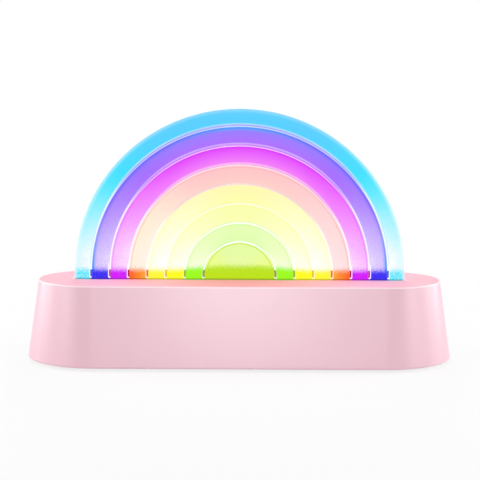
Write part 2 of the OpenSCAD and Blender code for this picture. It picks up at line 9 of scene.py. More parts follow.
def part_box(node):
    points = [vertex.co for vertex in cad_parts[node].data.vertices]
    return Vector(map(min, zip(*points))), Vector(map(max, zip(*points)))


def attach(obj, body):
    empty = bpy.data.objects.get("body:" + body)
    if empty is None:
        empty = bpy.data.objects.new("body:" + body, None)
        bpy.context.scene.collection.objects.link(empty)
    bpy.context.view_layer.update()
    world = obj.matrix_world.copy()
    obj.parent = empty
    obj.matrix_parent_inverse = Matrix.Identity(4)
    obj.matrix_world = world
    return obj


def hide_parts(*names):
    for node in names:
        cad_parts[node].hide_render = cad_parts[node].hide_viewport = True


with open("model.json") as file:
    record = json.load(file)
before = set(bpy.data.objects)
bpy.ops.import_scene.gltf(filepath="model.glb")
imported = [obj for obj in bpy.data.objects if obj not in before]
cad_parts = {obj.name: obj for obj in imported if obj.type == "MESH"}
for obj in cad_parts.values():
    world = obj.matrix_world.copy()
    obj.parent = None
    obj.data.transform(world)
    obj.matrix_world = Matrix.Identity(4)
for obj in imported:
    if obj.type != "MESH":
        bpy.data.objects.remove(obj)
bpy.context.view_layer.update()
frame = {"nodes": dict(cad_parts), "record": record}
nodes = frame["nodes"]
print("frame loaded:", len(nodes), "CAD nodes")

scene = bpy.context.scene
scene.view_settings.view_transform = "Standard"

mm = 0.001
white = (1, 1, 1, 1)

# the plate's drawing, in mm as in the CAD part
plateLow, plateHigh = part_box("rainbow_plate")
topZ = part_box("base_housing")[1].z / mm  # the base's top face
underZ = topZ - 2.5  # under its top panel
archZ = topZ + 2  # centre of the outermost arch
slotCount = 7
pitch = 10.1  # from slot to slot
slotRadii = [80 - pitch * k for k in range(slotCount)]
slotSink = 0.1  # each slot's centre is lower by this much than that of the arch outside it
slotEndZ = topZ + 1.2  # middle of the slots' round ends
slotHalf = 0.7  # half of a slot's width


camera = {
    "place": (0.00016, -0.4139, 0.1291),
    "lens": 58.48,
    "pitch": 0.155,  # looks down by this much, in radians
    "roll": 0.005,
}


def makeCamera():
    data = bpy.data.cameras.new("camera")
    data.sensor_width = 36
    data.lens = camera["lens"]
    data.clip_start, data.clip_end = 0.01, 20
    obj = bpy.data.objects.new("camera", data)
    scene.collection.objects.link(obj)
    tilt = Matrix.Rotation(math.pi / 2 - camera["pitch"], 4, "X")
    roll = Matrix.Rotation(camera["roll"], 4, "Z")
    obj.matrix_world = Matrix.Translation(camera["place"]) @ tilt @ roll
    scene.camera = obj


makeCamera()


def feed(mat, socket, value):  # mat is a material or the world
    if isinstance(value, bpy.types.NodeSocket):
        mat.node_tree.links.new(value, socket)
    else:
        socket.default_value = value


def addNode(mat, kind, inputs=(), **values):
    node = mat.node_tree.nodes.new(kind)
    for key, value in values.items():
        setattr(node, key, value)
    for key, value in dict(inputs).items():
        feed(mat, node.inputs[key], value)
    return node


def startFinish(name):
    mat = bpy.data.materials.new(name)
    mat.use_nodes = True
    shader = mat.node_tree.nodes["Principled BSDF"]
    where = addNode(mat, "ShaderNodeTexCoord").outputs["Object"]
    return mat, shader, where


def srgb(red, green, blue):  # 0-255 as a picture shows it, to the linear values that a socket takes
    def linear(c):
        c /= 255
        return c / 12.92 if c <= 0.04045 else ((c + 0.055) / 1.055) ** 2.4
    return (linear(red), linear(green), linear(blue), 1)


def calc(mat, operation, a, b=0.0, clamp=False):
    return addNode(mat, "ShaderNodeMath", {0: a, 1: b}, operation=operation, use_clamp=clamp).outputs[0]


def product(mat, first, *others):
    for other in others:
        first = calc(mat, "MULTIPLY", first, other)
    return first


def inMm(mat, where, *names):
    axes = addNode(mat, "ShaderNodeSeparateXYZ", {0: where}).outputs
    return [calc(mat, "MULTIPLY", axes[name], 1 / mm) for name in names]


def noiseAt(mat, where, scale, detail, rough=0.55, stretch=None):
    if stretch:
        where = addNode(mat, "ShaderNodeMapping", {"Vector": where, "Scale": stretch}).outputs[0]
    return addNode(mat, "ShaderNodeTexNoise", {"Vector": where, "Scale": scale, "Detail": detail,
                                               "Roughness": rough}).outputs["Fac"]


def rampOver(mat, factor, stops):
    node = addNode(mat, "ShaderNodeValToRGB", {"Fac": factor})
    ramp = node.color_ramp
    while len(ramp.elements) < len(stops):
        ramp.elements.new(0.5)
    for element, (at, colour) in zip(ramp.elements, sorted(stops)):
        element.position = at
        element.color = colour if isinstance(colour, tuple) else (colour, colour, colour, 1)
    return node.outputs["Color"]


def spread(mat, value, low, high, toLow=0.0, toHigh=1.0, smooth=False):
    return addNode(mat, "ShaderNodeMapRange", {"Value": value, "From Min": low, "From Max": high,
                                               "To Min": toLow, "To Max": toHigh}, clamp=True,
                   interpolation_type="SMOOTHSTEP" if smooth else "LINEAR").outputs["Result"]


def mixed(mat, factor, a, b, blend="MIX"):
    node = addNode(mat, "ShaderNodeMix", {0: factor}, data_type="RGBA", blend_type=blend, clamp_factor=True)
    feed(mat, node.inputs[6], a)
    feed(mat, node.inputs[7], b)
    return node.outputs[2]


def whiter(mat, share, colour):
    return mixed(mat, share, colour, white)


def bumpFrom(mat, height, distance):
    inputs = {"Height": height, "Distance": distance, "Strength": 1.0}
    return addNode(mat, "ShaderNodeBump", inputs).outputs["Normal"]


def setUp(mat, shader, **values):
    names = {"colour": "Base Color", "rough": "Roughness", "metal": "Metallic", "normal": "Normal",
             "specular": "Specular IOR Level", "ior": "IOR", "coat": "Coat Weight",
             "glow": "Emission Color", "glowLevel": "Emission Strength", "sheen": "Sheen Weight"}
    for key, value in values.items():
        feed(mat, shader.inputs[names[key]], value)
    return mat


noiseSpan = (0.3, 0.7)  # most of a noise's values lie between these


def mouldedPlastic(name, light, dark, rough=(0.36, 0.46), grain=0.000012, grainScale=2600, coat=0.0):
    mat, shader, where = startFinish(name)
    clouds = noiseAt(mat, where, scale=18, detail=2)
    fine = noiseAt(mat, where, scale=grainScale, detail=2, rough=0.6)
    colour = mixed(mat, spread(mat, clouds, *noiseSpan), dark, light)
    roughness = spread(mat, noiseAt(mat, where, scale=240, detail=3), *noiseSpan, *rough)
    return setUp(mat, shader, colour=colour, rough=roughness, coat=coat, normal=bumpFrom(mat, fine, grain))


def platedSteel(name, light, dark, rough):
    mat, shader, where = startFinish(name)
    lines = noiseAt(mat, where, scale=900, detail=4, rough=0.6, stretch=(1, 1, 14))
    blotch = noiseAt(mat, where, scale=160, detail=2)
    colour = mixed(mat, spread(mat, blotch, *noiseSpan), dark, light)
    return setUp(mat, shader, colour=colour, metal=1.0, rough=spread(mat, lines, *noiseSpan, *rough),
                 normal=bumpFrom(mat, lines, 0.000004))


def solderMask(name, mask, trace):
    mat, shader, where = startFinish(name)
    flat = addNode(mat, "ShaderNodeMapping", {"Vector": where, "Scale": (1, 1, 0)}).outputs[0]
    wander = noiseAt(mat, flat, scale=60, detail=0)
    tracks = addNode(mat, "ShaderNodeTexBrick", {
        "Vector": flat, "Scale": 700, "Mortar Size": 0.09, "Mortar Smooth": 0.3, "Bias": 0.0,
        "Color1": (0, 0, 0, 1), "Color2": (0.25, 0.25, 0.25, 1), "Mortar": white,
        "Brick Width": 3.4, "Row Height": 0.62}).outputs["Color"]
    shown = calc(mat, "MULTIPLY", tracks, spread(mat, wander, 0.42, 0.5), clamp=True)  # tracks on part of the board
    weave = noiseAt(mat, where, scale=1800, detail=2)
    return setUp(mat, shader, colour=mixed(mat, shown, mask, trace), coat=0.3,
                 rough=spread(mat, weave, *noiseSpan, 0.22, 0.36), normal=bumpFrom(mat, shown, 0.00002))


def softCover(name, light, dark, rough=(0.55, 0.7)):
    mat, shader, where = startFinish(name)
    clouds = noiseAt(mat, where, scale=40, detail=3)
    fine = noiseAt(mat, where, scale=1400, detail=3, rough=0.65)
    return setUp(mat, shader, colour=mixed(mat, spread(mat, clouds, *noiseSpan), dark, light),
                 rough=spread(mat, fine, *noiseSpan, *rough), specular=0.35, sheen=0.08,
                 normal=bumpFrom(mat, fine, 0.00002))


# The bands from the outside in: colour at the crown (outer and inner edge), colour low on the sides, colour of the
# light at the foot, white haze above the foot and the angle up to which it reaches.
rainbow = {
    "sky": {"outer": (90, 205, 254), "inner": (80, 203, 254), "low": (45, 230, 255), "foot": (45, 232, 254),
            "haze": 0.76, "upTo": 42},
    "violet": {"outer": (142, 126, 255), "inner": (174, 108, 255), "low": (158, 98, 255), "foot": (52, 40, 245),
               "haze": 0.5, "upTo": 50},
    "magenta": {"outer": (222, 58, 254), "inner": (240, 128, 245), "low": (236, 78, 255), "foot": (206, 8, 253),
                "haze": 0.54, "upTo": 60},
    "rose": {"outer": (255, 192, 197), "inner": (254, 204, 196), "low": (255, 230, 198), "foot": (254, 92, 20),
             "footIn": (252, 165, 50), "haze": 0.42, "upTo": 80},
    "lemon": {"outer": (253, 244, 176), "inner": (255, 251, 170), "low": (255, 253, 165), "foot": (254, 250, 50),
              "haze": 0.86, "upTo": 88},
    "straw": {"outer": (246, 252, 172), "inner": (246, 254, 176), "low": (252, 254, 170), "foot": (246, 254, 22),
              "haze": 0.8, "upTo": 84},
    "leaf": {"outer": (228, 253, 180), "inner": (220, 252, 172), "low": (226, 254, 165), "foot": (152, 254, 4),
             "haze": 0.6, "upTo": 80},
    "lime": {"outer": (224, 250, 162), "inner": (232, 254, 168), "low": (230, 254, 138), "foot": (184, 230, 0),
             "haze": 0.06, "upTo": 80},
}
# painted shade: each slot's foot shows the base's top behind it, in shade and tinted by the bands' light
paintedSlotShade = [(40, 100, 200), (190, 30, 155), (180, 10, 70), (242, 110, 10), (240, 195, 15), (160, 185, 5),
            (158, 160, 5)]

# A range such as (30, 50, 0.4, 0) gives 0.4 up to 30, 0 from 50 on and what lies between on the way, and one of two
# numbers goes from 0 to 1. Heights are over the base's top, angles over the horizontal and widths in from a slot's
# outer edge. A range "beyond" a slot starts with the slot's number and is measured outwards from its middle line.
lit = {
    "reach": 88.5,  # the arches' outer radius
    "own": {"face": 0.68, "rim": 0.64, "slotFloor": 0.9, "slotWall": 0.9},  # light that the plate gives off
    "painted": {"face": 0.36, "rim": 0.36, "slotFloor": 0.1, "slotWall": 0.1},  # share of its colour in studio light
    "tilt": (-60, 60, -3.0, 3.0), "tilted": (68, 71, 1.0, 0.0),  # the inner bands are paler on the left, as if lower
    "lowHue": (22, 68, 1.0, 0.0),  # angles over which the low colour turns to the crown's
    "rosePink": (255, 192, 208), "roseRight": (-10, 30, 0.0, 0.7),  # the rose band keeps its pink on the right
    "roseBeyond": ((3, 0, 1), (2, -1, 0, 1.0, 0.0)),
    "haze": {"fullTo": 8.0, "power": 1.7, "clouds": (0.2, 0.8, 0.94, 1.06), "fine": (*noiseSpan, 0.86, 1.14),
             "across": (2 * slotHalf, pitch, 0.8, 1.2)},  # paler towards each band's inner edge
    "skyEdgeReflection": {"crown": (70, 165, 252), "middle": (112, 108, 255),  # painted reflection along the violet band's outer edge
                "beyond": ((0, -3.3, -1.0), (0, -slotHalf, -0.6, 1.0, 0.0)),
                "high": (60.0, 84.0), "low": (14.0, 28.0, 1.0, 0.0),
                "share": ((20.0, 40.0, 0.4, 0.9), (4.0, 16.0, 0.9, 0.4))},
    "foot": {"grain": (0.25, 0.75, -1.4, 1.4),  # the colour's upper edge is uneven by this much
             "coreLift": (12, 38, 2.2, 0.0),  # and higher in the middle
             "heights": (3.2, 7.2, 1.0, 0.0), "fleck": (0.5, 0.62), "fleckBeyond": (0, 0, 0.4, 0.03, 0.6)},
    "polish": (*noiseSpan, 0.05, 0.09), "ripple": 0.00002,
    "outerEdge": (86.1, 88.4), "outerHighlight": (30.0, 75.0, 0.36, 0.16),  # painted highlight: paler along the sheet's edge, most below
    "dark": (0.02, 0.02, 0.02, 1), "paintedSeamShade": (0.1, 0.7, 0.5, 0.0),  # painted shade: a dark line where the sheet enters the base
    "face": {
        # a painted highlight: a fine pale line over the outer slots' crowns, where their edges catch light
        "crownGlintLine": (pitch - 0.75, pitch - 0.35, 0.0, 0.26), "crowns": (35.0, 60.0), "crownBeyond": (3, 2, 3),
        # a painted reflection: a fine line beside each slot, where the slot in the back face shows through the sheet
        "line": ((1.7, 1.9), (2.2, 2.4, 1.0, 0.0)), "lineLow": (30.0, 50.0, 0.32, 0.0),
        "lineInside": (18.0, 29.0, 0.8, 0.2), "lineBeyond": ((6, -4, -3), (0, -0.6, 0, 1.0, 0.0)),
    },
    "slotFloor": {
        # painted light: the outer slots' crowns show two fine highlight lines along their edges and, between them,
        # their neighbours' colours as light seen through the slot
        "outer": (3, -2, -1), "crowns": (30.0, 52.0),
        "lines": ((0.95, 1.15, 0.0, 0.74), (0.1, 0.35, 0.45, 0.0)), "lineShare": (3, 1, 3, 0.25, 0.85),
        "pale": 0.12, "first": (195, 150, 246), "firstBeyond": (1, 2, 3, 0.0, 0.3),
        "fourth": (240, 206, 222), "fourthBeyond": (3, 1, 3, 0.6, 0.0),
        # the others are white low down, where the floor glows with the lamp's own light, and further up a painted
        # highlight runs along their inner half
        "line": ((0.05, 0.2), (0.85, 1.0, 1.0, 0.0)), "highUp": (30.0, 50.0),
        "innerHalf": (0.8, 1.0), "innerShare": (5, 0, pitch, 0.92, 0.6), "deeper": (6, 0, 2 * pitch, 0.24, 0.0),
        "dark": (4.3, 4.8, 1.0, 0.0),  # heights at which the slots' painted dark foot ends
    },
    "slotWall": {
        "ends": (6.5, 9.0, 0.0, 0.9),  # white round the slots' ends, partly the lamp's own light and partly a painted highlight, and the band's own colour above
        # a painted highlight: a fine line round the crowns
        "outer": (3, -2, -1), "outerBeyond": (3, 1, 3, 0.1), "outerHigh": (50.0, 75.0, 0.7, 0.4),
        "innerShare": (5, 0, pitch, 0.9, 0.5), "highUp": (30.0, 50.0),
    },
    # painted light: below the base's top the rim is painted in the base's pink, in place of shade
    "rim": {"pale": (4.0, 12.0, 0.0, 0.22), "ears": (-1.5, -1.0, 1.0, 0.0), "earPaintedLight": (250, 200, 212)},
}


def placesOn(mat, where):
    x, z = inMm(mat, where, "X", "Z")

    def away(centre):  # how far over the centre, and how far from it; below it only sideways counts
        over = calc(mat, "MAXIMUM", calc(mat, "SUBTRACT", z, centre), 0.0)
        flat = addNode(mat, "ShaderNodeCombineXYZ", {0: x, 2: over}).outputs[0]
        return over, addNode(mat, "ShaderNodeVectorMath", {0: flat}, operation="LENGTH").outputs["Value"]

    # the centres sink with the radius, so a first radius finds the centre
    centre = spread(mat, away(archZ)[1], slotRadii[-1], slotRadii[0], archZ - slotCount * slotSink, archZ - slotSink)
    over, reach = away(centre)
    angle = calc(mat, "MULTIPLY", calc(mat, "ARCTAN2", over, calc(mat, "ABSOLUTE", x)), 180 / math.pi)
    tilt = product(mat, spread(mat, x, *lit["tilt"]), spread(mat, reach, *lit["tilted"]))
    fromOuterSlot = calc(mat, "SUBTRACT", slotRadii[0] + slotHalf + pitch, reach)
    return {
        "x": x, "height": calc(mat, "SUBTRACT", z, topZ), "reach": reach,
        "radius": calc(mat, "DIVIDE", reach, lit["reach"]), "angle": calc(mat, "ADD", angle, tilt),
        "inward": calc(mat, "MODULO", fromOuterSlot, pitch),  # in from the last slot's outer edge
    }


def beyond(mat, at, slot, low, high, *values, smooth=False):
    return spread(mat, at["reach"], slotRadii[slot] + low, slotRadii[slot] + high, *values, smooth=smooth)


def perBand(mat, at, value):  # from each band's outer to its inner edge
    outs = [lit["reach"]] + [r - slotHalf for r in slotRadii]
    ins = [r + slotHalf for r in slotRadii] + [0]
    inner = {"outer": "inner", "foot": "footIn"}.get(value, value)
    stops = []
    for band, out, into in zip(rainbow.values(), outs, ins):
        stops += [((out - 0.1) / lit["reach"], band[value]),
                  ((into + 0.1) / lit["reach"], band.get(inner, band[value]))]
    stops = [(place, srgb(*v) if isinstance(v, tuple) else v / 90 if value == "upTo" else v) for place, v in stops]
    return rampOver(mat, at["radius"], stops)


def bandColour(mat, where, at, crown, foot):
    reach, angle = at["reach"], at["angle"]

    # hue from the low colour to the crown's
    inRose = product(mat, *[beyond(mat, at, *span) for span in lit["roseBeyond"]])
    pinker = product(mat, inRose, spread(mat, at["x"], *lit["roseRight"]))
    low = mixed(mat, pinker, perBand(mat, at, "low"), srgb(*lit["rosePink"]))
    hue = mixed(mat, spread(mat, angle, *lit["lowHue"], smooth=True), crown, low)

    # white haze above the foot
    haze = lit["haze"]
    upTo = calc(mat, "MULTIPLY", perBand(mat, at, "upTo"), 90.0)
    share = calc(mat, "DIVIDE", calc(mat, "SUBTRACT", upTo, angle), calc(mat, "SUBTRACT", upTo, haze["fullTo"]),
                 clamp=True)
    share = calc(mat, "POWER", share, haze["power"])
    clouds = spread(mat, noiseAt(mat, where, scale=70, detail=2), *haze["clouds"])
    fine = spread(mat, noiseAt(mat, where, scale=1500, detail=2, rough=0.7), *haze["fine"])
    across = spread(mat, at["inward"], *haze["across"])
    colour = whiter(mat, product(mat, perBand(mat, at, "haze"), share, clouds, fine, across), hue)

    # painted reflection: blue along the outer edge of the violet band, most at the crown and at the foot
    edge = lit["skyEdgeReflection"]
    inside, outside = edge["beyond"]
    nearSkyReflection = product(mat, beyond(mat, at, *inside, smooth=True), beyond(mat, at, *outside))
    highOrLow = calc(mat, "MAXIMUM", spread(mat, angle, *edge["high"]), spread(mat, angle, *edge["low"]))
    edgeHue = mixed(mat, highOrLow, srgb(*edge["middle"]), srgb(*edge["crown"]))
    edgeShare = calc(mat, "MAXIMUM", *[spread(mat, angle, *span) for span in edge["share"]])
    colour = mixed(mat, product(mat, nearSkyReflection, edgeShare), colour, edgeHue)

    # strong colour at the foot, with a grainy upper edge
    atFoot = lit["foot"]
    grain = spread(mat, noiseAt(mat, where, scale=1300, detail=2, rough=0.7), *atFoot["grain"])
    shifted = calc(mat, "SUBTRACT", calc(mat, "ADD", at["height"], grain), spread(mat, reach, *atFoot["coreLift"]))
    strength = spread(mat, shifted, *atFoot["heights"], smooth=True)
    colour = mixed(mat, strength, colour, foot)
    fleck = spread(mat, noiseAt(mat, where, scale=1700, detail=1), *atFoot["fleck"])
    colour = whiter(mat, product(mat, fleck, beyond(mat, at, *atFoot["fleckBeyond"]), strength), colour)

    # painted highlight along the sheet's outer edge
    paintedEdgeHighlight = product(mat, spread(mat, reach, *lit["outerEdge"], smooth=True), spread(mat, angle, *lit["outerHighlight"]))
    return whiter(mat, paintedEdgeHighlight, colour)


def faceGlintAndReflectionLines(mat, at, colour, foot):
    look = lit["face"]
    # painted highlight: a fine pale line over the outer slots' crowns
    pale = product(mat, spread(mat, at["inward"], *look["crownGlintLine"]), spread(mat, at["angle"], *look["crowns"]),
                   beyond(mat, at, *look["crownBeyond"]))
    colour = whiter(mat, pale, colour)
    # painted reflection: a fine line beside each slot
    line = product(mat, *[spread(mat, at["inward"], *span) for span in look["line"]])
    sides = calc(mat, "MAXIMUM", spread(mat, at["angle"], *look["lineLow"]),
                 spread(mat, at["reach"], *look["lineInside"]))
    within = [beyond(mat, at, *span) for span in look["lineBeyond"]]
    return mixed(mat, product(mat, line, sides, *within), colour, foot)


def slotFloorLook(mat, at, colour, crown, foot):
    look = lit["slotFloor"]
    inward, angle = at["inward"], at["angle"]
    # painted highlight lines and painted coloured light in the outer slots' crowns
    tinted = product(mat, beyond(mat, at, *look["outer"]), spread(mat, angle, *look["crowns"], smooth=True))
    lines = calc(mat, "MAXIMUM", *[spread(mat, inward, *span) for span in look["lines"]])
    between = mixed(mat, beyond(mat, at, *look["firstBeyond"]), whiter(mat, look["pale"], crown),
                    srgb(*look["first"]))
    between = mixed(mat, beyond(mat, at, *look["fourthBeyond"]), between, srgb(*look["fourth"]))
    between = whiter(mat, product(mat, lines, beyond(mat, at, *look["lineShare"])), between)

    # painted highlight along the slots' inner half high up; white low down is the lamp's own glow
    highUp = spread(mat, angle, *look["highUp"])
    line = product(mat, *[spread(mat, inward, *span) for span in look["line"]])
    innerHalf = product(mat, spread(mat, inward, *look["innerHalf"]), beyond(mat, at, *look["innerShare"]))
    line = mixed(mat, highUp, line, innerHalf)
    colour = mixed(mat, product(mat, highUp, beyond(mat, at, *look["deeper"])), colour, foot)
    colour = mixed(mat, tinted, whiter(mat, line, colour), between)

    # painted shade low in each slot, tinted by the neighbouring bands' light
    dark = [(r / lit["reach"], srgb(*c)) for r, c in zip(slotRadii, paintedSlotShade)]
    return mixed(mat, spread(mat, at["height"], *look["dark"]), colour, rampOver(mat, at["radius"], dark))


def slotWallLook(mat, at, colour):
    look = lit["slotWall"]
    colour = mixed(mat, spread(mat, at["height"], *look["ends"]), white, colour)
    # painted highlight: a fine line round the slots' crowns
    outerShare = beyond(mat, at, *look["outerBeyond"], spread(mat, at["angle"], *look["outerHigh"]))
    share = mixed(mat, beyond(mat, at, *look["outer"]), beyond(mat, at, *look["innerShare"]), outerShare)
    return whiter(mat, product(mat, spread(mat, at["angle"], *look["highUp"]), share), colour)


def rimLook(mat, at, colour):
    look = lit["rim"]
    colour = whiter(mat, spread(mat, at["height"], *look["pale"]), colour)
    return mixed(mat, spread(mat, at["height"], *look["ears"]), colour, srgb(*look["earPaintedLight"]))  # painted light: in the base's pink, in place of the shade below the top


def plateFinish(name, part):
    mat, shader, where = startFinish(name)
    at = placesOn(mat, where)
    crown, foot = perBand(mat, at, "outer"), perBand(mat, at, "foot")
    colour = bandColour(mat, where, at, crown, foot)
    if part == "face":
        colour = faceGlintAndReflectionLines(mat, at, colour, foot)
    elif part == "slotFloor":
        colour = slotFloorLook(mat, at, colour, crown, foot)
    elif part == "slotWall":
        colour = slotWallLook(mat, at, colour)
    else:
        colour = rimLook(mat, at, colour)
    if part in ("face", "slotFloor"):
        # painted shade: a dark line low on the sheet, where it enters the base's opening
        colour = mixed(mat, spread(mat, at["height"], *lit["paintedSeamShade"]), colour, lit["dark"])

    painted = mixed(mat, 1.0, colour, (lit["painted"][part],) * 3 + (1,), "MULTIPLY")
    polish = spread(mat, noiseAt(mat, where, scale=320, detail=3), *lit["polish"])
    ripple = bumpFrom(mat, noiseAt(mat, where, scale=45, detail=1), lit["ripple"])
    return setUp(mat, shader, colour=painted, glow=colour, glowLevel=lit["own"][part], rough=polish, ior=1.49,
                 specular=0.2, normal=ripple)


plate = {
    "steps": 144,  # segments round the arches
    "endSteps": 12,  # and round the slots' ends
    "slotDepth": 2.6,
    "edge": 0.3, "edgeSteps": 3,  # rounding of the sheet's edges
    "slotEdge": 0.1, "slotEdgeSteps": 2,  # and of the slots'
    "sharp": 1.0,  # an edge that turns by more, in radians, is rounded
    "sliver": 0.001,  # edges shorter than this are closed up
    "slotMiddle": 0.45,  # a slot's faces have their middles this close to its centre line
    "wallMiddle": 0.75, "wallPoints": 0.9,  # and with its walls, their middles and points this close
    "wallDeep": 2.99, "floorDeep": 0.5,  # a slot's walls and floors lie less far than this from y = 0
    "rimTurn": 0.8,  # the rim's faces look less than this to the front or the back
}
touch = 0.001  # what lies this close is on the line
near = 0.01


def slotZ(k):
    return archZ - slotSink * (k + 1)


def fromSlot(point):  # distance from the nearest slot's centre line
    gaps = []
    for k, r in enumerate(slotRadii):
        x, up, end = abs(point.x), point.z - slotZ(k), point.z - slotEndZ
        gaps.append(abs(math.hypot(x, up) - r) if up > 0 else abs(x - r) if end > 0 else math.hypot(x - r, end))
    return min(gaps)


def inSlot(v):
    return fromSlot(v.co) < slotHalf + near


def pointsOf(geom):
    return [v for v in geom if isinstance(v, bmesh.types.BMVert)]


def drawArches(bm, front, reach):
    radii = sorted([0, reach] + [r + s for r in slotRadii for s in (-slotHalf, slotHalf)])
    row = [bm.verts.new((r, front, archZ)) for r in radii]
    spokes = [bm.edges.new(pair) for pair in zip(row, row[1:])]
    bmesh.ops.spin(bm, geom=row + spokes, cent=(0, 0, archZ), axis=(0, -1, 0), angle=math.pi, steps=plate["steps"])
    for k, r in enumerate(slotRadii):  # each slot's own, lower centre, its legs and its round ends
        ring = [v for v in bm.verts if abs(math.hypot(v.co.x, v.co.z - archZ) - r) < slotHalf + near]
        bmesh.ops.translate(bm, verts=ring, vec=(0, 0, slotZ(k) - archZ))
        feet = [e for e in bm.edges if all(v in ring and abs(v.co.z - slotZ(k)) < touch for v in e.verts)]
        legs = bmesh.ops.extrude_edge_only(bm, edges=feet)["geom"]
        bmesh.ops.translate(bm, verts=pointsOf(legs), vec=(0, 0, slotEndZ - slotZ(k)))
        for s in (-1, 1):
            start = bm.verts.new((s * r + slotHalf, front, slotEndZ))
            bmesh.ops.spin(bm, geom=[start], cent=(s * r, 0, slotEndZ), axis=(0, 1, 0), angle=math.pi,
                           steps=plate["endSteps"])


def drawTang(bm, front, reach):  # with its ears, under the base's top
    tang, foot = plateHigh.x / mm, plateLow.z / mm
    corners = [(reach, archZ), (reach, underZ), (tang, underZ), (tang, foot)]
    outline = [bm.verts.new((x, front, z)) for x, z in corners + [(-x, z) for x, z in corners[::-1]]]
    for pair in zip(outline, outline[1:]):
        bm.edges.new(pair)
    bmesh.ops.remove_doubles(bm, verts=bm.verts[:], dist=touch / 10)


def closeFaces(bm):  # the slots' round ends, then all that lies round and below them
    bottoms = [e for e in bm.edges if all(abs(v.co.z - slotEndZ) < touch for v in e.verts)
               and fromSlot((e.verts[0].co + e.verts[1].co) / 2) < slotHalf / 2]
    for bottom in bottoms:
        middle = (bottom.verts[0].co + bottom.verts[1].co) / 2
        arc = [e for e in bm.edges if e.is_wire and all((v.co - middle).length < slotHalf + near for v in e.verts)]
        bmesh.ops.contextual_create(bm, geom=[bottom] + arc)
    below = [e for e in bm.edges if (e.is_boundary or e.is_wire) and all(v.co.z < archZ + touch for v in e.verts)]
    bmesh.ops.contextual_create(bm, geom=below)


def giveDepth(bm, front):  # the front half, then its mirror image
    slots = [f for f in bm.faces if fromSlot(f.calc_center_median()) < plate["slotMiddle"]
             and all(map(inSlot, f.verts))]
    floors = bmesh.ops.extrude_face_region(bm, geom=slots)["geom"]
    bmesh.ops.translate(bm, verts=pointsOf(floors), vec=(0, plate["slotDepth"], 0))
    bmesh.ops.delete(bm, geom=slots, context="FACES")
    rim = bmesh.ops.extrude_edge_only(bm, edges=[e for e in bm.edges if e.is_boundary])["geom"]
    bmesh.ops.translate(bm, verts=pointsOf(rim), vec=(0, -front, 0))
    bmesh.ops.mirror(bm, geom=bm.verts[:] + bm.edges[:] + bm.faces[:], matrix=Matrix.Identity(4),
                     merge_dist=touch, axis="Y")
    bmesh.ops.recalc_face_normals(bm, faces=bm.faces[:])


def roundEdges(bm, front):
    for ofSlots, size, steps in ((False, "edge", "edgeSteps"), (True, "slotEdge", "slotEdgeSteps")):
        sharp = [e for e in bm.edges if e.is_manifold and e.calc_face_angle() > plate["sharp"]
                 and all(abs(v.co.y) > -front - touch for v in e.verts) and all(map(inSlot, e.verts)) == ofSlots]
        bmesh.ops.bevel(bm, geom=sharp, offset=plate[size], offset_type="OFFSET", segments=plate[steps],
                        profile=0.5, affect="EDGES", clamp_overlap=False, material=-1)
    bmesh.ops.dissolve_degenerate(bm, dist=plate["sliver"], edges=bm.edges[:])


def sortFaces(bm):  # 0 face, 1 slot floor, 2 slot wall, 3 rim
    for f in bm.faces:
        centre = f.calc_center_median()
        deep = abs(centre.y)
        f.smooth = True
        if fromSlot(centre) < plate["wallMiddle"] and all(fromSlot(v.co) < plate["wallPoints"] for v in f.verts):
            f.material_index = 1 if deep < plate["floorDeep"] else 2 if deep < plate["wallDeep"] else 0
        elif abs(f.normal.y) < plate["rimTurn"]:
            f.material_index = 3


def makePlate():
    front, reach = plateLow.y / mm, plateHigh.z / mm - archZ
    bm = bmesh.new()
    drawArches(bm, front, reach)
    drawTang(bm, front, reach)
    closeFaces(bm)
    giveDepth(bm, front)
    roundEdges(bm, front)
    sortFaces(bm)
    bmesh.ops.scale(bm, vec=(mm, mm, mm), verts=bm.verts[:])
    mesh = bpy.data.meshes.new("lit_plate")
    bm.to_mesh(mesh)
    bm.free()
    obj = bpy.data.objects.new("lit_plate", mesh)
    scene.collection.objects.link(obj)
    for name, part in (("plate_face", "face"), ("plate_slot_floor", "slotFloor"), ("plate_slot_wall", "slotWall"),
                       ("plate_rim", "rim")):
        mesh.materials.append(plateFinish(name, part))
    even = obj.modifiers.new("even", "WEIGHTED_NORMAL")
    even.keep_sharp = True
    even.weight = 100  # the flat faces stay flat
    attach(obj, "lamp")
    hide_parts("rainbow_plate")
    print("plate made:", len(mesh.polygons), "faces")


makePlate()


shell = {
    "light": (219, 176, 188), "dark": (217, 174, 186),
    "edge": (240, 210, 217), "edgeHighlightFrom": (-0.9, -0.6),  # painted highlight: the rounded edge is lighter, as if it catches more light; heights from the top
    "topWithPlateLight": [(0.0, (255, 160, 180)), (0.24, (255, 168, 178)), (0.52, (255, 184, 195)), (0.74, (255, 187, 204)),
                  (1.0, (252, 184, 197))],  # the top's colour from the middle out: a deeper pink than the walls, with painted light from the plate on it
    "topReach": 90, "topFrom": (-0.12, -0.02),
    "rough": (0.35, 0.37), "topRougher": 0.4,
    # painted glow: the walls of the opening round the plate give off light, as if lit from inside
    "glow": (255, 140, 150), "glowLevel": 0.8,
    "openingX": (90.2, 90.4, 1.0, 0.0), "openingY": (4.55, 4.6, 1.0, 0.0), "openingUnder": (-0.1, -0.02, 1.0, 0.0),
}


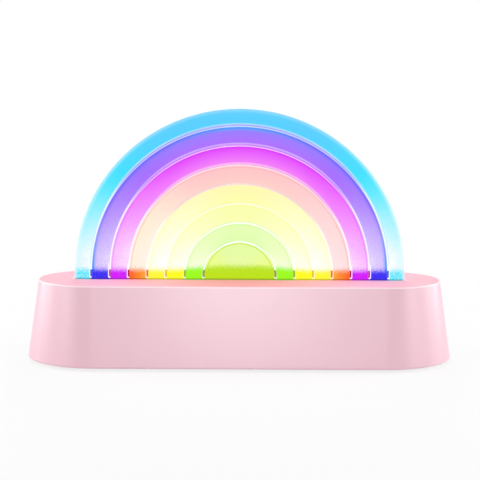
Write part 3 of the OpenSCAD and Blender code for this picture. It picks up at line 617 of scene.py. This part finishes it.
def pinkShell(name):
    mat, shader, where = startFinish(name)
    x, y, z = inMm(mat, where, "X", "Y", "Z")
    across, deep = calc(mat, "ABSOLUTE", x), calc(mat, "ABSOLUTE", y)
    height = calc(mat, "SUBTRACT", z, topZ)
    clouds = noiseAt(mat, where, scale=14, detail=2)
    fine = noiseAt(mat, where, scale=2600, detail=2, rough=0.6)
    wall = mixed(mat, spread(mat, clouds, *noiseSpan), srgb(*shell["dark"]), srgb(*shell["light"]))
    # painted highlight along the top's rounded edge
    wall = mixed(mat, spread(mat, height, *shell["edgeHighlightFrom"]), wall, srgb(*shell["edge"]))
    # painted light: the plate's coloured light on the top, by the distance from the middle
    top = rampOver(mat, spread(mat, across, 0.0, shell["topReach"]), [(at, srgb(*c)) for at, c in shell["topWithPlateLight"]])
    onTop = spread(mat, height, *shell["topFrom"])
    roughness = spread(mat, noiseAt(mat, where, scale=240, detail=3), *noiseSpan, *shell["rough"])
    roughness = calc(mat, "ADD", roughness, product(mat, onTop, shell["topRougher"]))
    # painted glow on the walls of the opening round the plate
    openingGlowMask = product(mat, spread(mat, across, *shell["openingX"]), spread(mat, deep, *shell["openingY"]),
                      spread(mat, height, *shell["openingUnder"]))
    glow = mixed(mat, openingGlowMask, (0, 0, 0, 1), srgb(*shell["glow"]))
    return setUp(mat, shader, colour=mixed(mat, onTop, wall, top), rough=roughness, specular=1.0, glow=glow,
                 glowLevel=shell["glowLevel"], normal=bumpFrom(mat, fine, 0.000008))


finishes = {
    "housing_plastic": pinkShell("pink_shell"),
    "cover_plastic": mouldedPlastic("pink_cover", srgb(243, 192, 205), srgb(238, 186, 199), rough=(0.5, 0.62),
                                    grain=0.00003, grainScale=1500),
    "rubber": softCover("grey_rubber", srgb(222, 222, 225), srgb(206, 206, 210)),
    "screw_steel": platedSteel("zinc_steel", (0.66, 0.67, 0.69, 1), (0.55, 0.56, 0.58, 1), rough=(0.24, 0.4)),
    "white_plastic": mouldedPlastic("white_shell", srgb(243, 243, 240), srgb(236, 236, 233), rough=(0.34, 0.46)),
    "white_board": solderMask("white_mask", srgb(238, 240, 236), srgb(214, 218, 214)),
    "led_package": mouldedPlastic("diode_white", srgb(250, 248, 236), srgb(240, 232, 190), rough=(0.2, 0.3),
                                  grain=0.000004),
    "connector_nylon": mouldedPlastic("nylon", srgb(240, 236, 224), srgb(230, 225, 208), rough=(0.4, 0.55)),
    "wire_cover": softCover("wire_red", srgb(200, 44, 38), srgb(176, 34, 30), rough=(0.38, 0.5)),
    "green_board": solderMask("green_mask", srgb(24, 98, 54), srgb(58, 142, 82)),
    "chip_black": mouldedPlastic("chip_black", srgb(44, 44, 47), srgb(34, 34, 37), rough=(0.45, 0.6),
                                 grain=0.00002, grainScale=3000),
    "socket_steel": platedSteel("bright_steel", (0.78, 0.78, 0.8, 1), (0.68, 0.68, 0.7, 1), rough=(0.14, 0.26)),
    "switch_black": mouldedPlastic("black_nylon", srgb(48, 48, 52), srgb(38, 38, 42), rough=(0.4, 0.52)),
    "control_plastic": mouldedPlastic("pink_control", srgb(248, 204, 216), srgb(244, 196, 210), rough=(0.3, 0.4)),
    "cell_sleeve": mouldedPlastic("blue_sleeve", srgb(96, 160, 206), srgb(80, 144, 194), rough=(0.18, 0.3),
                                  grain=0.00001, grainScale=300, coat=0.4),
}


def dressNodes():
    for part in frame["record"]["subparts"]:
        if part["node"] == "rainbow_plate":
            continue
        obj, finish = nodes[part["node"]], finishes[part["material_slot"]]
        if not obj.material_slots:
            obj.data.materials.append(finish)
        for slot in obj.material_slots:
            slot.material = finish
    print("CAD nodes dressed")


dressNodes()


studio = {
    "around": 0.19,  # light from all round
    "aim": (0, 0, 0.05),
    "lights": {  # level is how bright a white surface at the aim gets
        "front": {"place": (0, -1.3, 0.25), "size": (0.08, 0.06), "level": 0.22},
        "nearLeft": {"place": (-0.98, -0.85, 0.2), "size": (0.3, 0.06), "level": 0.095},
        "nearRight": {"place": (0.98, -0.85, 0.2), "size": (0.3, 0.06), "level": 0.095},
        "left": {"place": (-0.8, 0.03, 0.26), "size": (0.5, 0.5), "level": 0.68},
        "right": {"place": (0.8, 0.03, 0.26), "size": (0.5, 0.5), "level": 0.68},
        "top": {"place": (0, -0.1, 0.9), "size": (0.8, 0.8), "level": 0.43},
        "back": {"place": (0, 0.8, 0.4), "size": (0.5, 0.5), "level": 0.32},
    },
    "floor": {"half": 4, "under": 0.05 * mm, "colour": (0.9, 0.9, 0.9, 1), "rough": 0.9,
              "fade": (0.14, 0.4, 0.8, 1.0)},  # share of plain white, by the distance from the lamp's middle
}


def seenDirectly(mat):  # also in a mirror or through glass
    path = addNode(mat, "ShaderNodeLightPath").outputs
    bent = calc(mat, "MAXIMUM", path["Is Glossy Ray"], path["Is Transmission Ray"])
    return calc(mat, "MAXIMUM", path["Is Camera Ray"], bent)


def makeWorld():
    world = bpy.data.worlds.new("white_room")
    scene.world = world
    world.use_nodes = True
    background = world.node_tree.nodes["Background"]
    feed(world, background.inputs["Color"], white)
    feed(world, background.inputs["Strength"], spread(world, seenDirectly(world), 0.0, 1.0, studio["around"], 1.0))


def makeFloor():
    floor = studio["floor"]
    bm = bmesh.new()
    bmesh.ops.create_grid(bm, x_segments=2, y_segments=2, size=floor["half"])
    bmesh.ops.translate(bm, verts=bm.verts[:], vec=(0, 0, -floor["under"]))  # just under the feet
    mesh = bpy.data.meshes.new("floor")
    bm.to_mesh(mesh)
    bm.free()
    obj = bpy.data.objects.new("floor", mesh)
    scene.collection.objects.link(obj)
    mat, shader, where = startFinish("pale_floor")
    setUp(mat, shader, colour=floor["colour"], rough=floor["rough"], specular=0.0)
    own = addNode(mat, "ShaderNodeEmission", {"Color": white, "Strength": 1.0}).outputs[0]
    away = addNode(mat, "ShaderNodeVectorMath", {0: where}, operation="LENGTH").outputs["Value"]
    share = product(mat, seenDirectly(mat), spread(mat, away, *floor["fade"], smooth=True))
    both = addNode(mat, "ShaderNodeMixShader", {0: share, 1: shader.outputs[0], 2: own})
    feed(mat, mat.node_tree.nodes["Material Output"].inputs["Surface"], both.outputs[0])
    mesh.materials.append(mat)


def makeLights():
    aim = Vector(studio["aim"])
    for name, values in studio["lights"].items():
        place = Vector(values["place"])
        data = bpy.data.lights.new(name + "_light", "AREA")
        data.shape = "RECTANGLE"
        data.size, data.size_y = values["size"]
        data.energy = values["level"] * math.pi ** 2 * (place - aim).length_squared
        obj = bpy.data.objects.new(name + "_light", data)
        scene.collection.objects.link(obj)
        obj.location = place
        obj.rotation_euler = (aim - place).to_track_quat("-Z", "Y").to_euler()
        obj.visible_camera = False


makeWorld()
makeFloor()
makeLights()
print("studio made")
